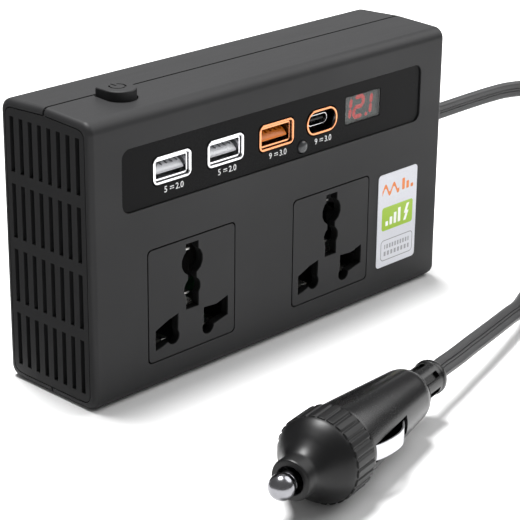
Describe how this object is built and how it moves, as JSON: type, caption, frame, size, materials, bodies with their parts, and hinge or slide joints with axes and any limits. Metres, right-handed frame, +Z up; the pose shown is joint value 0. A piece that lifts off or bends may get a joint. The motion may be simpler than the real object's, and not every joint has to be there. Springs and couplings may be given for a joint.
{
  "type": "power inverter",
  "caption": "Upright DC to AC power inverter with universal mains outlets, charging ports, a digital readout, end grilles and a coiled lead to a car accessory plug.",
  "frame": {"origin": "centre of the case's footprint, on the surface it stands on", "axes": "+X along the case's length towards the lead, +Y towards the rear face, +Z up; the outlets face -Y"},
  "size_m": [0.2934, 0.1524, 0.0998],
  "materials": {
    "shell_plastic": "fine-grained moulded charcoal plastic",
    "grille_plastic": "moulded dark grey plastic",
    "panel_plastic": "smooth near-black plastic",
    "chrome_metal": "bright nickel plating",
    "copper_metal": "copper-coloured plating",
    "orange_plastic": "orange moulding",
    "grey_plastic": "pale grey moulding",
    "smoked_window": "smoked clear plastic",
    "lamp_lens": "frosted grey lens",
    "label_film": "printed white film",
    "board_laminate": "green circuit board",
    "brass_strip": "sprung brass strip",
    "steel": "plated steel",
    "aluminium": "extruded aluminium",
    "ferrite": "dark sintered ferrite",
    "copper_winding": "enamelled copper wire",
    "black_plastic": "black moulded plastic",
    "gloss_black_plastic": "polished black plastic",
    "clear_glass": "clear glass tube",
    "cord_rubber": "dark grey flexible insulation",
    "strap_fabric": "black hook-and-loop strap"
  },
  "bodies": {
    "case": {"front_shell": "shell_plastic", "rear_shell": "shell_plastic", "left_grille": "grille_plastic", "right_grille": "grille_plastic", "case_screw_1": "steel", "case_screw_2": "steel", "case_screw_3": "steel", "case_screw_4": "steel", "control_panel": "panel_plastic", "usb_a_shell_1": "chrome_metal", "usb_a_tongue_1": "grey_plastic", "usb_a_shell_2": "chrome_metal", "usb_a_tongue_2": "grey_plastic", "usb_a_shell_3": "copper_metal", "usb_a_tongue_3": "orange_plastic", "usb_c_shell": "copper_metal", "usb_c_socket": "chrome_metal", "usb_c_tongue": "black_plastic", "port_board": "board_laminate", "display_window": "smoked_window", "display_module": "black_plastic", "indicator_lens": "lamp_lens", "socket_plate_1": "shell_plastic", "earth_contact_1": "brass_strip", "live_contact_1": "brass_strip", "neutral_contact_1": "brass_strip", "socket_plate_2": "shell_plastic", "earth_contact_2": "brass_strip", "live_contact_2": "brass_strip", "neutral_contact_2": "brass_strip", "rating_label": "label_film", "button_switch": "black_plastic", "button_spring": "steel", "main_board": "board_laminate", "transformer_core": "ferrite", "transformer_winding": "copper_winding", "heat_sink": "aluminium", "power_transistor_1": "black_plastic", "power_transistor_2": "black_plastic", "power_transistor_3": "black_plastic", "filter_capacitor_1": "black_plastic", "filter_capacitor_2": "black_plastic", "mains_fuse": "clear_glass", "fan_frame": "black_plastic", "cord_gland": "black_plastic", "cord_out": "cord_rubber", "cord_coil": "cord_rubber", "cord_back": "cord_rubber", "cord_tie": "strap_fabric", "plug_body": "gloss_black_plastic", "plug_collar": "gloss_black_plastic"},
    "button": {"power_button": "shell_plastic"},
    "fan": {"fan_rotor": "black_plastic"},
    "cap_carriage": {"spring_seat": "steel"},
    "nose": {"nose_cap": "gloss_black_plastic"},
    "pin": {"contact_pin": "chrome_metal", "plug_fuse": "clear_glass", "pin_spring": "steel"},
    "contact_left": {"side_contact_1": "chrome_metal"},
    "contact_right": {"side_contact_2": "chrome_metal"}
  },
  "joints": [
    {"name": "button_press", "type": "slide", "parent": "case", "child": "button", "axis": [0, 0, -1], "range_m": [0, 0.0015], "stiffness_N_per_m": 400, "springref_m": -0.001, "deforming": ["button_spring"]},
    {"name": "fan_spin", "type": "hinge", "parent": "case", "child": "fan", "pos_m": [0.0675, 0, 0.026], "axis": [1, 0, 0], "continuous": true},
    {"name": "cap_travel", "type": "slide", "parent": "case", "child": "cap_carriage", "axis": [-0.9808, -0.1951, 0.0052], "range_m": [0, 0.0075]},
    {"name": "cap_turn", "type": "hinge", "parent": "cap_carriage", "child": "nose", "pos_m": [-0.08094, -0.11048, 0.014], "axis": [-0.9808, -0.1951, 0.0052], "range_deg": [0, 1800]},
    {"name": "pin_press", "type": "slide", "parent": "cap_carriage", "child": "pin", "axis": [0.9808, 0.1951, -0.0052], "range_m": [0, 0.0025], "stiffness_N_per_m": 600, "springref_m": -0.002},
    {"name": "contact_flex_1", "type": "hinge", "parent": "case", "child": "contact_left", "pos_m": [-0.06278, -0.11869, 0.01417], "axis": [0.0007, 0.0233, 0.9997], "range_deg": [0, 7], "stiffness_Nm_per_rad": 0.4, "springref_deg": -2.86},
    {"name": "contact_flex_2", "type": "hinge", "parent": "case", "child": "contact_right", "pos_m": [-0.06731, -0.09594, 0.01365], "axis": [-0.0007, -0.0233, -0.9997], "range_deg": [0, 7], "stiffness_Nm_per_rad": 0.4, "springref_deg": -2.86}
  ],
  "couplings": [
    {"joint": "cap_travel", "follows": "cap_turn", "m_per_rad": 0.00023873}
  ]
}
